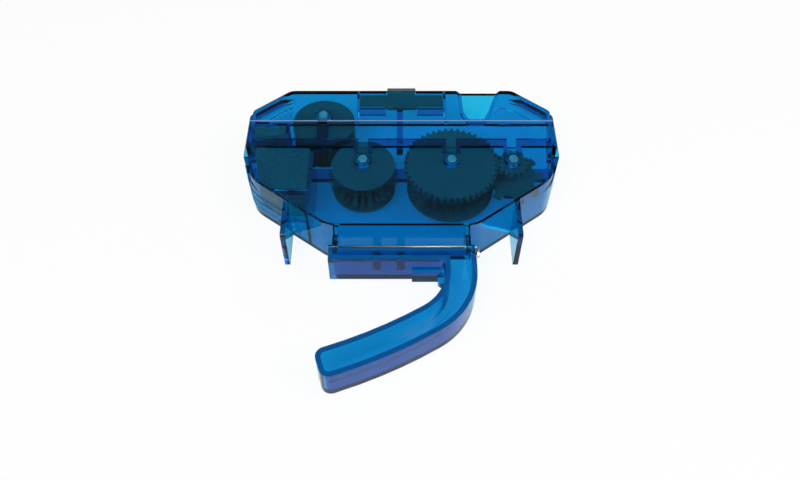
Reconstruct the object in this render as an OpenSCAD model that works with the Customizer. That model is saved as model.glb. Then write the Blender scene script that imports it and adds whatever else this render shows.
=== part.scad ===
// Hand-held bicycle chain cleaner: a clear tub and lift-off lid with three brush wheels,
// a sprocket that a chain drives, a sponge pair, a push latch and a folding grip handle.
// The part lies on its back. X runs along the chain, Y points to the lid's top and Z out
// of the front. The origin is on the back face, mid-width, level with the lower axles.

/* [Case] */
// Half width of the case at its ends
case_half_w = 98; // [97:0.5:104]
// Half width of the flat bottom
bottom_half_w = 43.5; // [42:0.5:46]
// Depth of the flat bottom below the lower axles
bottom_depth = 49; // [47:0.5:54]
// How far the shoulder between slope and end wall lies inside the end
shoulder_inset = 7; // [5:0.5:8]
// Depth of the shoulder below the lower axles
shoulder_depth = 14; // [12:0.5:16]
// Height of the lid's top above the lower axles
case_top = 60.2; // [60:0.2:64]
// Height of the end walls' top corner
end_top = 45.5; // [43:0.5:47]
// Half width of the flat top
top_half_w = 79.8; // [78:0.2:84]
// Depth of the case from back to front, without the belt
case_d = 33; // [33:0.5:38]
// Wall thickness of tub and lid
wall = 2; // [1.6:0.1:2.4]
// Depth at which the front steps in at the ends
step_z = 25; // [23:0.5:27]
// How far the front face is narrower at each end
front_inset = 3.5; // [2.5:0.25:4.5]
// Rounding of the bottom corners
bottom_r = 16; // [10:1:20]
// Rounding of the shoulders
shoulder_r = 18; // [12:1:22]
// Rounding of the top corners
top_r = 8; // [5:0.5:12]

/* [Seam] */
// Height of the seam between tub and lid above the lower axles
seam_y = 10.1; // [9.6:0.1:10.6]
// How far the tub's lip rises inside the lid
lip_h = 7.4; // [6.8:0.2:8]
// Height of the raised belt round the lid's foot
belt_h = 21.7; // [20:0.1:22]
// How far the belt stands out of the front
belt_proud = 2; // [1.8:0.1:2.4]
// How far the belt stands out of the ends
belt_end_proud = 0.7; // [0.5:0.1:1.2]
// Clearance between tub and lid
seam_gap = 0.2; // [0.15:0.05:0.3]

/* [Chain path] */
// Height of the chain's centre line above the lower axles
chain_y = 18.1; // [17.8:0.1:18.4]
// How far the chain's centre line lies in front of the case's middle depth
chain_offset = 0.5; // [0.3:0.1:0.7]
// Height of each end slot
slot_h = 11.5; // [11:0.25:12]
// Width of each end slot
slot_w = 12; // [11:0.5:13]
// Free height for the chain between the two sponges
sponge_gap = 8.6; // [8:0.2:9]

/* [Axles] */
// Diameter of every axle
axle_d = 5.8; // [5.4:0.1:6.2]
// Running clearance round an axle, on the radius
axle_fit = 0.05; // [0.03:0.01:0.08]
// Place of the first brush along X
brush1_x = -23.6; // [-24:0.1:-23.2]
// Place of the second brush along X
brush2_x = 30.6; // [30.4:0.1:31]
// Place of the third brush along X
brush3_x = -49.6; // [-50:0.1:-49.4]
// Height of the third brush above the lower axles
brush3_y = 37.3; // [37.2:0.05:37.5]
// Diameter of the hubs
hub_d = 16; // [14:0.5:18]

/* [Brushes] */
// Radius of the first brush over its outer rings
brush1_r = 20; // [19:0.25:20.5]
// Radius of the first brush over its middle ring
brush1_mid_r = 22.3; // [21:0.1:22.4]
// Radius of the second brush over its bristles
brush2_r = 27.6; // [26.5:0.1:27.8]
// Radius of the third brush
brush3_r = 20.3; // [19.6:0.1:20.4]
// Strands in each row of the first and third brushes
strands_small = 14; // [12:1:15]
// Strands in each row of the second brush
strands_large = 22; // [20:1:26]
// Thickness of one strand
strand_d = 1.3; // [1:0.1:1.5]
// Thickness of the brush discs
disc_t = 1.5; // [1.2:0.1:1.6]

/* [Drive] */
// Chain pitch
chain_pitch = 12.7; // [12.7]
// Roller diameter of the chain
roller_d = 7.75; // [7.7:0.05:7.9]
// Teeth of the sprocket
sprocket_teeth = 9; // [9]
// Thickness of the sprocket
sprocket_t = 2; // [1.8:0.1:2.2]
// Height of a sprocket tooth above the pitch line
sprocket_tip = 1.2; // [0.8:0.1:1.4]
// Tooth size of the gear pair, pitch diameter over teeth
gear_module = 1.25; // [1.25]
// Teeth of the gear on the second brush
gear_teeth = 45; // [45]
// Teeth of the pinion beside the sprocket
pinion_teeth = 15; // [15]
// Thickness of gear and pinion
gear_t = 3; // [2.5:0.25:3.5]

/* [Latch] */
// Half width of the push button
button_half_w = 9.2; // [8.8:0.1:9.6]
// Half width across the latch's wings
wing_half_w = 26.8; // [26:0.1:27]
// Height of a wing
wing_h = 10.5; // [10:0.25:11.5]
// How far the button stands above the lid's top
button_proud = 5; // [4:0.1:5.5]
// Travel of the button
latch_travel = 2.5; // [2:0.1:2.6]

/* [Handle] */
// Depth of the handle from back to front
handle_d = 20; // [18:0.5:21]
// Gap between the tub's bottom and the handle's bar
handle_drop = 10.5; // [10:0.1:12]
// Height of the bar
bar_h = 9; // [8.6:0.1:10]
// Reach of the bar to the left
bar_left = 42; // [41.8:0.1:43]
// Reach of the grip to the right
grip_right = 42.7; // [42.5:0.1:43.4]
// Width of the grip
grip_w = 18; // [17:0.25:19]
// Radius of the grip's outer bend
bend_r = 45; // [43:0.5:48]
// Angle of the grip's outer bend
bend_angle = 58; // [54:1:60]
// Radius of the grip's long sweep
sweep_r = 285; // [260:5:310]
// Angle of the grip's long sweep
sweep_angle = 14; // [12:0.5:15]
// Thickness of the handle's rim
rim_t = 3; // [2.6:0.1:4]
// Diameter of the hinge wire
wire_d = 1.6; // [1.4:0.1:1.8]

/* [Feet and lugs] */
// Distance of each foot from the middle
foot_x = 68; // [64:0.5:70]
// Reach of the feet below the lower axles
foot_depth = 56.5; // [55:0.5:58]
// Thickness of feet and hinge lugs
plate_t = 3; // [2.6:0.1:3.2]
// Distance of each hinge lug from the middle
lug_x = 38; // [37.8:0.1:38.2]

/* [Hidden] */
$fn = 48;
arc_steps = 6;
overrun = 1;
lap = 0.4;
touch_gap = 0.3;

shoulder_half_w = case_half_w - shoulder_inset;
lip_top = seam_y + lip_h;
belt_top = seam_y + belt_h;
belt_z = case_d + belt_proud;
lip_inset = wall + seam_gap;
lip_root = seam_y - wall;
front_end_top = end_top - front_inset;
top_inset_share = 2.35;
front_top_half_w = top_half_w - top_inset_share * front_inset;
side_flare = 0.5;
axle_r = axle_d / 2;
bore_r = axle_r + axle_fit;
hub_r = hub_d / 2;
pitch_r = chain_pitch / (2 * sin(180 / sprocket_teeth));
gear_pitch_r = gear_module * gear_teeth / 2;
pinion_pitch_r = gear_module * pinion_teeth / 2;
sprocket_x = brush2_x + gear_pitch_r + pinion_pitch_r;

// Depths of the wheel stack, measured from the back
chain_z = case_d / 2 + chain_offset;
wheel_back_z = 5.5;
wheel_front_z = case_d - wall - touch_gap;
gear_room = 0.7;
gear_back_z = wheel_front_z - gear_room - gear_t;
brush1_front_room = 2.7;
brush1_front_z = wheel_front_z - brush1_front_room;
brush3_front_room = 4.2;
brush3_front_z = wheel_front_z - brush3_front_room;
ring_clear = 0.5;
sprocket_room = 2;
collar_r = 4.5;
spacer_r = 5;
boss_r = 5.25;
cradle_r = 5.6;
cradle_t = 3;
axle_back_z = wall + touch_gap;
tongue_gap = 0.15;
cover_edge = 0.25;
cover_half_w = boss_r + cover_edge;
cover_bottom = 4.8;
boss_top = cover_bottom - seam_gap;
tab_w = 5.6;
tab_back_w = 7.2;
tab_back_z = wheel_front_z - wall;
tab_top = brush3_y - axle_r - seam_gap;

// Sponges and the ribs that hold them
partition_x = -55;
partition_top = 8.5;
sponge_inset = lip_inset + wall + touch_gap;
lower_sponge_top = chain_y - sponge_gap / 2;
lower_sponge_foot = -21;
ledge_d = 4;
upper_sponge_foot = chain_y + sponge_gap / 2;
upper_sponge_h = 8.4;
sponge_rib_x = -72.4;
rib_t = 1.5;

// Fill notch in the lid's front, from its left shoulder to its right shoulder
notch_foot_y = 34.6;
notch_side_y = 41.5;
notch_left_top_x = 38.7;
notch_left_x = 39.4;
notch_foot_left_x = 42.4;
notch_foot_right_x = 52.6;
notch_right_x = 55.4;
notch_right_top_x = 60.8;
notch_r = 3;
notch_rim_t = 1.6;
notch_rim_d = 2.5;

// Pads behind the lid's front wall, each outline in shares of its width and height
pad_left_x = -83.7;
pad_left_w = 13.4;
pad_right_x = 58.1;
pad_right_w = 23.5;
pad_foot = upper_sponge_foot + upper_sponge_h + touch_gap;
pad_h = 14.8;
pad_t = 1.6;
pad_left_shares = [[0, 0], [0, 0.29], [0.48, 0.7], [0.94, 1], [1, 1], [1, 0]];
pad_right_shares = [[0, 0], [0, 0.29], [0.05, 0.7], [0.2, 1], [0.39, 1], [0.67, 0.75],
    [1, 0.32], [1, 0]];

// Latch pocket, hook and catch
pocket_rib_x = wing_half_w + touch_gap;
pocket_rib_foot = 33;
wing_t = 2.2;
pocket_depth = wing_t + latch_travel + rib_t + 2 * touch_gap;
shelf_room = 0.9;
shelf_in_x = button_half_w + shelf_room;
shelf_t = 1.5;
wing_top = case_top - wall - touch_gap;
wing_foot = wing_top - wing_h;
button_skirt = 1.2;
button_foot = wing_foot - button_skirt;
button_d = 6.2;
button_back_z = wheel_front_z - button_d;
button_gap = 0.3;
serration_pitch = 1.2;
serration_h = 0.7;
catch_x = -1;
catch_w = 4;
catch_t = 2;
catch_gap = 0.2;
catch_root = 12;
barb_d = 2;
barb_h = 2.2;
barb_low_share = 1 / 3;
hook_t = 2.1;
hook_h = 1.6;
hook_reach = 0.6;
catch_room = 0.5;
catch_top = wing_top - catch_room;
barb_foot = catch_top - barb_h;
catch_z = wheel_front_z - wing_t - latch_travel - touch_gap - catch_t;
hook_front_z = catch_z - barb_d - catch_gap;
hook_back_z = hook_front_z - hook_t;

// Chain slots and brushes
slot_reach = 4 * wall;
brush_rings = 3;

// Handle and hinge
tip_turn_share = 1.3;
rib_gap_share = 1.5;
bar_top = -bottom_depth - handle_drop;
bar_foot = bar_top - bar_h;
handle_back_z = 6;
handle_front_z = handle_back_z + handle_d;
handle_floor = 2.5;
bar_rim = 3.2;
hinge_rise = 0.6;
hinge_inset = 1;
hinge_y = bar_top + hinge_rise;
hinge_z = handle_front_z - hinge_inset;
wire_r = wire_d / 2;
wire_fit = 0.05;
lug_r = 5;
lug_fit = 0.3;
lug_back_z = 14;
eye_r = 3;
eye_t = 2.2;
corner_r = 7;
tip_r = 5.5;
bend_drop = 16.2;
bend_y = bar_top - bend_drop;
floor_rib_w = 4;
floor_rib_h = 1.6;
bar_step_h = 2;
bar_step_left = 6;
nub_x = 23.5;
nub_r = 2.6;
nub_drop = 6.2;
nub_t = 5;
wire_leg = 7;
wire_end_gap = 0.4;
stop_xs = [-14.5, -0.5];
stop_w = 4.6;
stop_gap = 0.5;
stop_back_z = handle_back_z + stop_gap;
stop_front_z = 16;
foot_back_z = 2;
foot_tip_r = 2;
slope_share = (bottom_depth - shoulder_depth) / (shoulder_half_w - bottom_half_w);
foot_top = slope_share * (foot_x - bottom_half_w) - bottom_depth + 2 * wall;
ridge_zs = [6.5, 12.5, 18.5];
ridge_w = 1;
ridge_h = 0.5;
ridge_top = 8;
ridge_foot = -36;

function unit(v) = v / norm(v);
function turn(a) = a > 180 ? a - 360 : (a < -180 ? a + 360 : a);

// Half of the angle at corner b between its neighbours a and c
function half_angle(a, b, c) = acos(unit(a - b) * unit(c - b)) / 2;

// Arc of radius r that rounds corner b between a and c
function corner_arc(a, b, c, r) =
    let (half = half_angle(a, b, c))
    let (reach = r / tan(half))
    let (centre = b + unit(unit(a - b) + unit(c - b)) * r / sin(half))
    let (start = b + unit(a - b) * reach - centre)
    let (stop = b + unit(c - b) * reach - centre)
    let (from = atan2(start.y, start.x))
    let (sweep = turn(atan2(stop.y, stop.x) - from))
    r <= 0 ? [b] : [for (i = [0:arc_steps])
        centre + r * [cos(from + sweep * i / arc_steps), sin(from + sweep * i / arc_steps)]];

// Closed outline with each corner rounded by its own radius
function rounded(points, radii) =
    let (n = len(points))
    [for (i = [0:n - 1])
        each corner_arc(points[(i + n - 1) % n], points[i], points[(i + 1) % n], radii[i])];

// Convex outline drawn in by a distance on every side
function drawn_in(points, d) =
    let (n = len(points))
    [for (i = [0:n - 1])
        let (a = points[(i + n - 1) % n])
        let (b = points[i])
        let (c = points[(i + 1) % n])
        b + unit(unit(a - b) + unit(c - b)) * d / sin(half_angle(a, b, c))];

// Half of a case outline, from the bottom corner up to the top corner
function half_outline(end_w, end_y, top_w) = [
    [bottom_half_w, -bottom_depth],
    [shoulder_half_w, -shoulder_depth],
    [end_w + side_flare, seam_y],
    [end_w, end_y],
    [top_w, case_top]
];
function mirrored(points) = [for (i = [len(points) - 1:-1:0]) [-points[i].x, points[i].y]];
function both(points) = concat(points, mirrored(points));

body_half = half_outline(case_half_w, end_top, top_half_w);
front_half = half_outline(case_half_w - front_inset, front_end_top, front_top_half_w);
half_radii = [bottom_r, shoulder_r, top_r, top_r / 2, top_r];
radii = concat(half_radii, [for (i = [4:-1:0]) half_radii[i]]);

function case_path(half, d) =
    rounded(drawn_in(both(half), d), [for (r = radii) max(r - d, wall / 2)]);

// Block with the stepped case outline, drawn in by a distance, between three depths
module case_block(d, back, step, front) {
    translate([0, 0, back]) linear_extrude(step - back) polygon(case_path(body_half, d));
    translate([0, 0, back]) linear_extrude(front - back) polygon(case_path(front_half, d));
}

// Everything between two heights, over the whole case
module band(low, high) {
    translate([-2 * case_half_w, low, -case_d])
        cube([4 * case_half_w, high - low, 3 * case_d]);
}

// Plate square to X with its outline in Y and Z
module plate(x, t, points) {
    translate([x - t / 2, 0, 0]) rotate([90, 0, 90]) linear_extrude(t) polygon(points);
}

// Upward channel for an axle between two depths
module axle_channel(x, y, top, back, front) {
    translate([x, y, back]) cylinder(h = front - back, r = bore_r);
    translate([x - bore_r, y, back]) cube([2 * bore_r, top - y, front - back]);
}

// Slot for the chain through one end wall
module chain_slot(side, low, high) {
    slot_out_x = case_half_w + side_flare + overrun;
    slot_in_x = shoulder_half_w - slot_reach;
    translate([side > 0 ? slot_in_x : -slot_out_x, low, chain_z - slot_w / 2])
        cube([slot_out_x - slot_in_x, high - low, slot_w]);
}

// Hinge lug below the tub's bottom
module lug(x) {
    plate(x, plate_t, [[-bottom_depth + lap, case_d], [-bottom_depth + lap, lug_back_z],
        [hinge_y, hinge_z - lug_r], [hinge_y, hinge_z + lug_r]]);
    translate([x - plate_t / 2, hinge_y, hinge_z]) rotate([0, 90, 0])
        cylinder(h = plate_t, r = lug_r);
}

// Foot that stands below a sloping wall
module foot(x) {
    plate(x, plate_t, rounded([[foot_top, foot_back_z], [-foot_depth, foot_back_z],
        [-foot_depth, case_d], [foot_top, case_d]], [0, foot_tip_r, foot_tip_r, 0]));
}

// U-shaped boss round an axle end on the tub's front
module front_boss(x) {
    translate([x, 0, case_d - lap]) cylinder(h = belt_proud + lap, r = boss_r);
    translate([x - boss_r, 0, case_d - lap])
        cube([2 * boss_r, boss_top, belt_proud + lap]);
}

// Cradle for an axle's rear end on the tub's back wall
module rear_cradle(x) {
    translate([x, 0, wall - lap]) cylinder(h = cradle_t + lap, r = cradle_r);
    translate([x - cradle_r, 0, wall - lap]) cube([2 * cradle_r, cradle_r, cradle_t + lap]);
}

lower_axle_xs = [brush1_x, brush2_x, sprocket_x];

module tub() {
    color("dodgerblue", 0.5) difference() {
        union() {
            difference() {
                union() {
                    intersection() {
                        case_block(0, 0, step_z, case_d);
                        band(-2 * bottom_depth, seam_y);
                    }
                    intersection() {
                        case_block(lip_inset, lip_inset, step_z - lip_inset, case_d);
                        band(lip_root, lip_top);
                    }
                    intersection() {
                        union() {
                            for (z = ridge_zs) translate([0, 0, z])
                                linear_extrude(ridge_w) polygon(case_path(body_half, -ridge_h));
                        }
                        translate([-2 * case_half_w, ridge_foot, 0])
                            cube([2 * case_half_w - bottom_half_w, ridge_top - ridge_foot, case_d]);
                    }
                    for (side = [-1, 1]) {
                        lug(side * lug_x);
                        foot(side * foot_x);
                    }
                    for (x = stop_xs) translate([x - stop_w / 2, bar_top + touch_gap, stop_back_z])
                        cube([stop_w, handle_drop - touch_gap + lap, stop_front_z - stop_back_z]);
                }
                intersection() {
                    case_block(wall, wall, step_z - wall, case_d - wall);
                    band(-2 * bottom_depth, lip_root);
                }
                intersection() {
                    case_block(lip_inset + wall, lip_inset + wall,
                               step_z - lip_inset - wall, case_d - wall);
                    band(lip_root - lap, lip_top + overrun);
                }
            }
            for (x = lower_axle_xs) {
                front_boss(x);
                rear_cradle(x);
            }
            // Partition beside the lower sponge
            intersection() {
                case_block(wall / 2, wall / 2, step_z, case_d - wall / 2);
                translate([partition_x - wall / 2, -2 * bottom_depth, 0])
                    cube([wall, 2 * bottom_depth + partition_top, case_d]);
            }
            // Two ledges under the lower sponge
            intersection() {
                case_block(wall / 2, wall / 2, step_z, case_d - wall / 2);
                for (z = [wall - lap, case_d - wall - ledge_d])
                    translate([-2 * case_half_w, lower_sponge_foot - touch_gap - rib_t, z])
                        cube([2 * case_half_w + partition_x, rib_t, ledge_d + lap]);
            }
            // Tab that closes the third axle's slot in the lid, and its backing
            translate([brush3_x - tab_w / 2, lip_top - lap, case_d - wall])
                cube([tab_w, tab_top - lip_top + lap, wall]);
            translate([brush3_x - tab_w / 2, lip_top - lap, tab_back_z])
                cube([tab_w, belt_top - lip_top, case_d - tab_back_z]);
            translate([brush3_x - tab_back_w / 2, seam_y, tab_back_z])
                cube([tab_back_w, lip_top - seam_y, case_d - wall + lap - tab_back_z]);
            translate([brush3_x - tab_back_w / 2, lip_top - lap, tab_back_z])
                cube([tab_back_w, belt_top - lip_top, wheel_front_z - tab_back_z]);
            // Catch for the latch, a post that ends behind the push button
            translate([catch_x - catch_w / 2, catch_root, catch_z])
                cube([catch_w, catch_top - catch_root, catch_t]);
            translate([catch_x - catch_w / 2, catch_root, catch_z])
                cube([catch_w, lip_top - catch_root, case_d - wall - catch_z + lap]);
            plate(catch_x, catch_w, [[barb_foot, catch_z + lap], [barb_foot, catch_z - barb_d],
                [barb_foot + barb_h * barb_low_share, catch_z - barb_d], [catch_top, catch_z],
                [catch_top, catch_z + lap]]);
        }
        for (x = lower_axle_xs)
            axle_channel(x, 0, lip_top + overrun, axle_back_z - seam_gap, belt_z + overrun);
        for (side = [-1, 1]) {
            chain_slot(side, chain_y - slot_h / 2, lip_top + overrun);
            translate([side * lug_x - plate_t, hinge_y, hinge_z]) rotate([0, 90, 0])
                cylinder(h = 2 * plate_t, r = wire_r + wire_fit);
        }
    }
}

module lower_sponge() {
    color("darkslategray") intersection() {
        translate([0, 0, sponge_inset]) linear_extrude(case_d - wall - touch_gap - sponge_inset)
            polygon(case_path(front_half, sponge_inset));
        translate([-2 * case_half_w, lower_sponge_foot, 0])
            cube([2 * case_half_w + partition_x - wall / 2 - touch_gap,
                  lower_sponge_top - lower_sponge_foot, case_d]);
    }
}

module hinge_wire() {
    left_end = -bar_left - wire_end_gap;
    right_end = grip_right + wire_end_gap + wire_r;
    color("wheat") {
        translate([left_end, hinge_y, hinge_z]) rotate([0, 90, 0])
            cylinder(h = right_end - left_end, r = wire_r);
        translate([right_end, hinge_y, hinge_z]) sphere(r = wire_r);
        translate([right_end, hinge_y, hinge_z]) rotate([90, 0, 0])
            cylinder(h = wire_leg, r = wire_r);
    }
}

// Notch outline, widened by a distance on both sides and at the foot
function notch_points(d) = [
    [notch_left_top_x - notch_r - d, case_top + overrun],
    [notch_left_top_x - notch_r - d, case_top],
    [notch_left_top_x - d, case_top - notch_r], [notch_left_x - d, notch_side_y],
    [notch_foot_left_x - d / 2, notch_foot_y - d], [notch_foot_right_x + d / 2, notch_foot_y - d],
    [notch_right_x + d, notch_side_y], [notch_right_top_x + d, case_top - notch_r],
    [notch_right_top_x + notch_r + d, case_top],
    [notch_right_top_x + notch_r + d, case_top + overrun]
];
notch_radii = [0, 0, notch_r, 2 * notch_r, notch_r, notch_r, 2 * notch_r, notch_r, 0, 0];

// Pad behind the lid's front wall from its left edge, in shares of its width and height
module front_pad(x, w, shares) {
    translate([x, pad_foot, case_d - wall - pad_t]) linear_extrude(pad_t + lap)
        polygon([for (share = shares) [share.x * w, share.y * pad_h]]);
}

// Cover and tongue of the lid that trap one axle end in the tub
module axle_keeper(x) {
    translate([x - cover_half_w, cover_bottom, case_d + seam_gap])
        cube([2 * cover_half_w, seam_y - cover_bottom + lap, belt_proud - seam_gap]);
    translate([x - bore_r + tongue_gap, axle_r + seam_gap, case_d - wall + seam_gap])
        cube([2 * (bore_r - tongue_gap), seam_y - axle_r - seam_gap, wall + lap]);
}

// Ribs inside the lid that guide one wing of the latch
module wing_pocket(side) {
    plate(side * (pocket_rib_x + rib_t / 2), rib_t, [
        [pocket_rib_foot, case_d - wall + lap], [pocket_rib_foot, case_d - wall - rib_t],
        [wing_foot - shelf_t, case_d - wall - pocket_depth],
        [case_top - wall + lap, case_d - wall - pocket_depth],
        [case_top - wall + lap, case_d - wall + lap]]);
    low_x = side > 0 ? shelf_in_x : -pocket_rib_x - lap;
    translate([low_x, wing_foot - touch_gap - shelf_t, case_d - wall - pocket_depth])
        cube([pocket_rib_x + lap - shelf_in_x, shelf_t, pocket_depth + lap]);
    translate([low_x, wing_foot + wing_h / 2, case_d - wall - pocket_depth])
        cube([pocket_rib_x + lap - shelf_in_x, case_top - wall + lap - wing_foot - wing_h / 2,
              rib_t]);
}

module lid() {
    color("deepskyblue", 0.5) difference() {
        union() {
            difference() {
                union() {
                    intersection() {
                        case_block(0, 0, step_z, case_d);
                        band(seam_y, 2 * case_top);
                    }
                    intersection() {
                        translate([0, 0, step_z]) linear_extrude(belt_z - step_z)
                            polygon(case_path(front_half, -belt_end_proud));
                        band(seam_y, belt_top);
                    }
                    translate([brush3_x, brush3_y, case_d - lap])
                        cylinder(h = belt_proud + lap, r = boss_r);
                    translate([brush3_x - boss_r, belt_top - lap, case_d - lap])
                        cube([2 * boss_r, brush3_y - belt_top + lap, belt_proud + lap]);
                }
                intersection() {
                    case_block(wall, wall, step_z - wall, case_d - wall);
                    band(seam_y - overrun, 2 * case_top);
                }
                intersection() {
                    translate([0, 0, wall]) linear_extrude(case_d + seam_gap - wall)
                        polygon(case_path(front_half, wall));
                    band(seam_y - overrun, belt_top - wall);
                }
            }
            for (x = lower_axle_xs) axle_keeper(x);
            for (side = [-1, 1]) wing_pocket(side);
            front_pad(pad_left_x, pad_left_w, pad_left_shares);
            front_pad(pad_right_x, pad_right_w, pad_right_shares);
            // Rim round the fill notch
            intersection() {
                case_block(wall / 2, wall / 2, step_z - wall / 2, case_d - wall / 2);
                translate([0, 0, case_d - wall - notch_rim_d]) linear_extrude(notch_rim_d + lap)
                    difference() {
                        polygon(rounded(notch_points(notch_rim_t), notch_radii));
                        polygon(rounded(notch_points(0), notch_radii));
                    }
            }
            // Blind bearing for the third axle's rear end
            translate([brush3_x, brush3_y, wall - lap]) cylinder(h = cradle_t + lap, r = cradle_r);
            // Rib and shelf that hold the upper sponge
            intersection() {
                case_block(wall / 2, wall / 2, step_z - wall / 2, case_d - wall / 2);
                union() {
                    translate([sponge_rib_x, upper_sponge_foot, 0])
                        cube([rib_t, upper_sponge_h + touch_gap + rib_t, case_d]);
                    translate([-2 * case_half_w, upper_sponge_foot + upper_sponge_h + touch_gap, 0])
                        cube([2 * case_half_w + sponge_rib_x + lap, rib_t, case_d]);
                }
            }
        }
        // Bore and slot of the third axle
        translate([brush3_x, brush3_y, axle_back_z - seam_gap])
            cylinder(h = belt_z + overrun, r = bore_r);
        translate([brush3_x - bore_r, lip_top, case_d - wall - overrun])
            cube([2 * bore_r, brush3_y - lip_top, wall + overrun]);
        translate([brush3_x - bore_r, belt_top - lap, case_d - wall])
            cube([2 * bore_r, brush3_y - belt_top + lap, 2 * wall + overrun]);
        for (side = [-1, 1]) chain_slot(side, seam_y - overrun, chain_y + slot_h / 2);
        // Fill notch through the front wall
        translate([0, 0, case_d - wall - lap]) linear_extrude(case_d)
            polygon(rounded(notch_points(0), notch_radii));
        // Slot in the top wall for the push button
        translate([-button_half_w - button_gap, case_top - wall - overrun,
                   button_back_z - latch_travel - button_gap])
            cube([2 * (button_half_w + button_gap), wall + 2 * overrun,
                  case_d - wall + seam_gap - button_back_z + latch_travel + button_gap]);
        translate([catch_x - catch_w / 2 - button_gap, case_top - wall - overrun,
                   hook_back_z - latch_travel - button_gap])
            cube([catch_w + 2 * button_gap, wall + 2 * overrun, button_back_z - hook_back_z]);
    }
}

module upper_sponge() {
    color("darkslategray") intersection() {
        translate([0, 0, wall + touch_gap]) linear_extrude(case_d - 2 * (wall + touch_gap))
            polygon(case_path(front_half, wall + touch_gap));
        translate([-2 * case_half_w, upper_sponge_foot, 0])
            cube([2 * case_half_w + sponge_rib_x - touch_gap, upper_sponge_h, case_d]);
    }
}

// Push button with two side wings and the hook that holds the lid down
module latch() {
    button_top = case_top + button_proud;
    serrations = floor(2 * button_half_w / serration_pitch);
    hook_foot = barb_foot - hook_h - catch_gap;
    color("#202428") {
        difference() {
            translate([-button_half_w, wing_top, button_back_z])
                cube([2 * button_half_w, button_top - wing_top, button_d]);
            for (i = [0:serrations])
                translate([(i - serrations / 2) * serration_pitch, button_top, 0])
                    rotate([0, 0, 45]) translate([-serration_h / 2, -serration_h / 2, 0])
                        cube([serration_h, serration_h, case_d + overrun]);
        }
        translate([-button_half_w, button_foot, wheel_front_z - wing_t])
            cube([2 * button_half_w, wing_top - button_foot + lap, wing_t]);
        translate([-wing_half_w, wing_foot, wheel_front_z - wing_t])
            cube([2 * wing_half_w, wing_h, wing_t]);
        // Bridge over the catch, and the hook that hangs from it
        translate([catch_x - catch_w / 2, wing_top, hook_back_z])
            cube([catch_w, case_top - wing_top, button_back_z - hook_back_z + lap]);
        translate([catch_x - catch_w / 2, hook_foot, hook_back_z])
            cube([catch_w, wing_top - hook_foot + lap, hook_t]);
        plate(catch_x, catch_w, [
            [hook_foot + lap, hook_back_z], [hook_foot + lap, hook_front_z],
            [hook_foot, hook_front_z], [hook_foot - hook_reach, hook_back_z]]);
    }
}

// Axle with a collar between its wheel and the front wall
module axle(x, y, wheel_front) {
    color("deepskyblue", 0.6) translate([x, y, 0]) {
        translate([0, 0, axle_back_z]) cylinder(h = belt_z - axle_back_z, r = axle_r);
        translate([0, 0, wheel_front])
            cylinder(h = wheel_front_z - wheel_front, r = collar_r);
    }
}

// Plain wheel piece on an axle: hub, disc or spacer
module wheel_piece(x, y, low, high, r) {
    color("#23292d") translate([x, y, low]) difference() {
        cylinder(h = high - low, r = r, $fn = 96);
        translate([0, 0, -overrun]) cylinder(h = high - low + 2 * overrun, r = axle_r);
    }
}

// Ring of strands in three rows that point straight out of a thin sleeve
module bristle_ring(x, y, low, high, r, count) {
    rows = 3;
    sleeve_t = 0.8;
    row_step = (high - low) / rows;
    color("#2b3338") translate([x, y, low]) {
        difference() {
            cylinder(h = high - low, r = hub_r + sleeve_t);
            translate([0, 0, -overrun]) cylinder(h = high - low + 2 * overrun, r = hub_r);
        }
        for (row = [0:rows - 1])
            for (i = [0:count - 1])
                rotate([0, 0, (i + row / rows) * 360 / count])
                    translate([hub_r + sleeve_t / 2, 0, (row + 0.5) * row_step])
                        rotate([0, 90, 0])
                            cylinder(h = r - hub_r - sleeve_t / 2, d = strand_d, $fn = 3);
    }
}

hub_low = wheel_back_z + disc_t;
brush1_hub_high = brush1_front_z - disc_t;
brush3_hub_high = brush3_front_z - disc_t;
ring_h = (brush1_hub_high - hub_low - 2 * ring_clear) / brush_rings;
ring3_h = (brush3_hub_high - hub_low - 2 * ring_clear) / brush_rings;

module brush1_axle() { axle(brush1_x, 0, brush1_front_z); }
module brush1_hub() { wheel_piece(brush1_x, 0, hub_low, brush1_hub_high, hub_r); }
module brush1_front_disc() {
    wheel_piece(brush1_x, 0, brush1_hub_high, brush1_front_z, brush1_r - ring_clear);
}
module brush1_rear_disc() {
    wheel_piece(brush1_x, 0, wheel_back_z, hub_low, brush1_r - ring_clear);
}
module brush1_rear_bristles() {
    bristle_ring(brush1_x, 0, hub_low, hub_low + ring_h, brush1_r, strands_small);
}
module brush1_middle_bristles() {
    low = hub_low + ring_h + ring_clear;
    bristle_ring(brush1_x, 0, low, low + ring_h, brush1_mid_r, strands_small);
}
module brush1_front_bristles() {
    bristle_ring(brush1_x, 0, brush1_hub_high - ring_h, brush1_hub_high, brush1_r, strands_small);
}

module brush2_axle() { axle(brush2_x, 0, gear_back_z + gear_t); }
module brush2_hub() { wheel_piece(brush2_x, 0, hub_low, gear_back_z, hub_r); }
module brush2_rear_disc() {
    wheel_piece(brush2_x, 0, wheel_back_z, hub_low, brush2_r - ring_clear);
}
module brush2_rear_bristles() {
    bristle_ring(brush2_x, 0, hub_low, chain_z - sprocket_t / 2 - sprocket_room, brush2_r,
                 strands_large);
}
module brush2_front_bristles() {
    bristle_ring(brush2_x, 0, chain_z + sprocket_t / 2 + sprocket_room, gear_back_z, brush2_r,
                 strands_large);
}

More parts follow.
